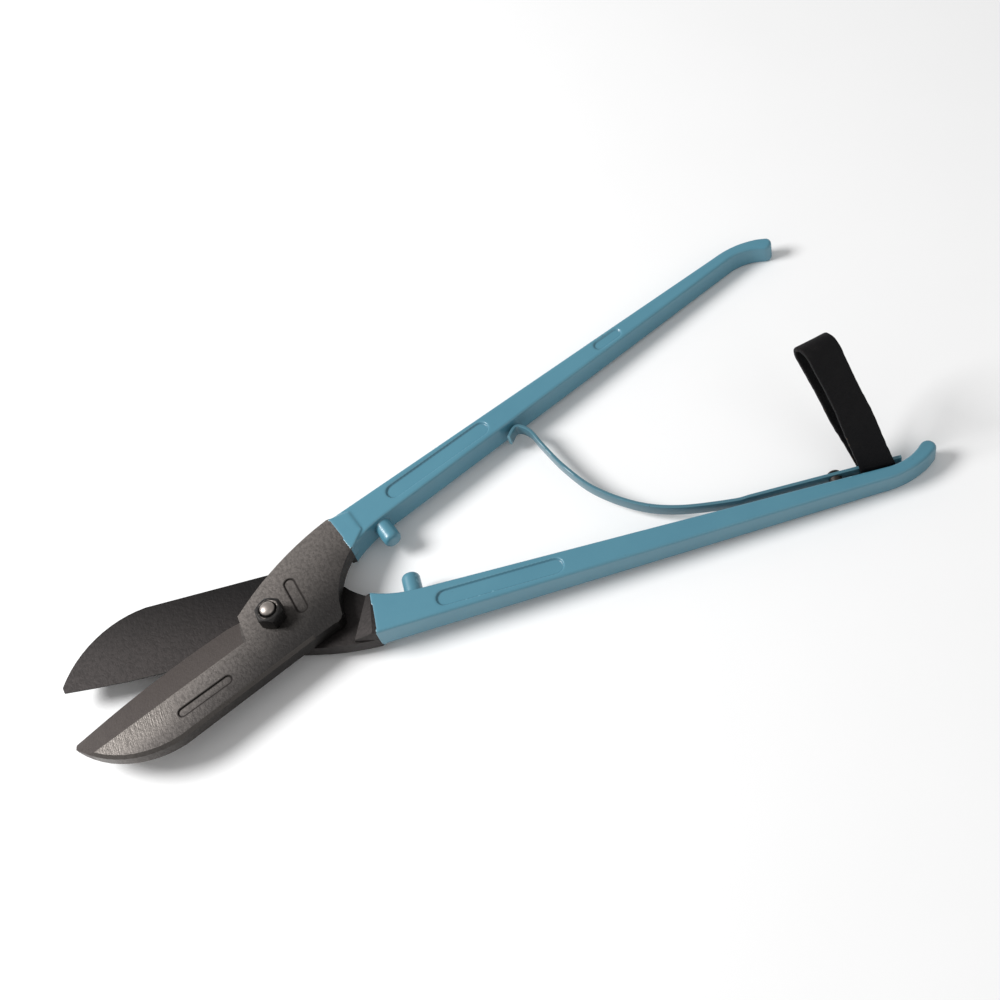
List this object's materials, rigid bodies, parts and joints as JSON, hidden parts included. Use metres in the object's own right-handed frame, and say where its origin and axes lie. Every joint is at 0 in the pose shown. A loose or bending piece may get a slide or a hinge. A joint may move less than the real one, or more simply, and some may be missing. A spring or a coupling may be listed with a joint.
{
  "type": "metal shear",
  "caption": "Straight hand metal shear: forged levers crossing at a bolt, ground blades, leaf return spring and a leather keeper loop on one handle.",
  "frame": {"origin": "on the bolt head's flat underside, where the line that the two levers mirror each other about crosses it", "axes": "+X from the blades to the handles, +Z out of the nut along the pivot, +Y towards the front lever's handle"},
  "size_m": [0.3541, 0.139, 0.0605],
  "materials": {
    "blue_enamel": "gloss enamel over forged steel, blade and head left bare",
    "rear_enamel": "gloss enamel over forged steel, blade and head left bare",
    "spring_enamel": "gloss enamel on spring steel",
    "black_steel": "black oxide",
    "nut_steel": "black oxide, worn on the edges",
    "rivet_steel": "black",
    "hidden_steel": "black",
    "collar_steel": "black",
    "leather": "black waxed"
  },
  "bodies": {
    "rear_half": {"rear_lever": "rear_enamel", "pivot_bolt": "black_steel", "pivot_nut": "nut_steel", "return_spring": "spring_enamel", "spring_rivet_front": "rivet_steel", "spring_rivet_rear": "hidden_steel", "spring_collar": "collar_steel"},
    "front_half": {"front_lever": "blue_enamel"},
    "keeper": {"keeper_strap": "leather"}
  },
  "joints": [
    {"name": "pivot", "type": "hinge", "parent": "rear_half", "child": "front_half", "pos_m": [-0.0005, -0.0026, 0.01065], "axis": [0, 0, 1], "range_deg": [-16, 0], "stiffness_Nm_per_rad": 5, "deforming": ["return_spring"]},
    {"name": "keeper_swing", "type": "hinge", "parent": "rear_half", "child": "keeper", "pos_m": [0.23918, -0.05921, 0.01065], "axis": [0.9725, -0.2331, 0], "range_deg": [-57, 33], "deforming": ["keeper_strap"]}
  ]
}
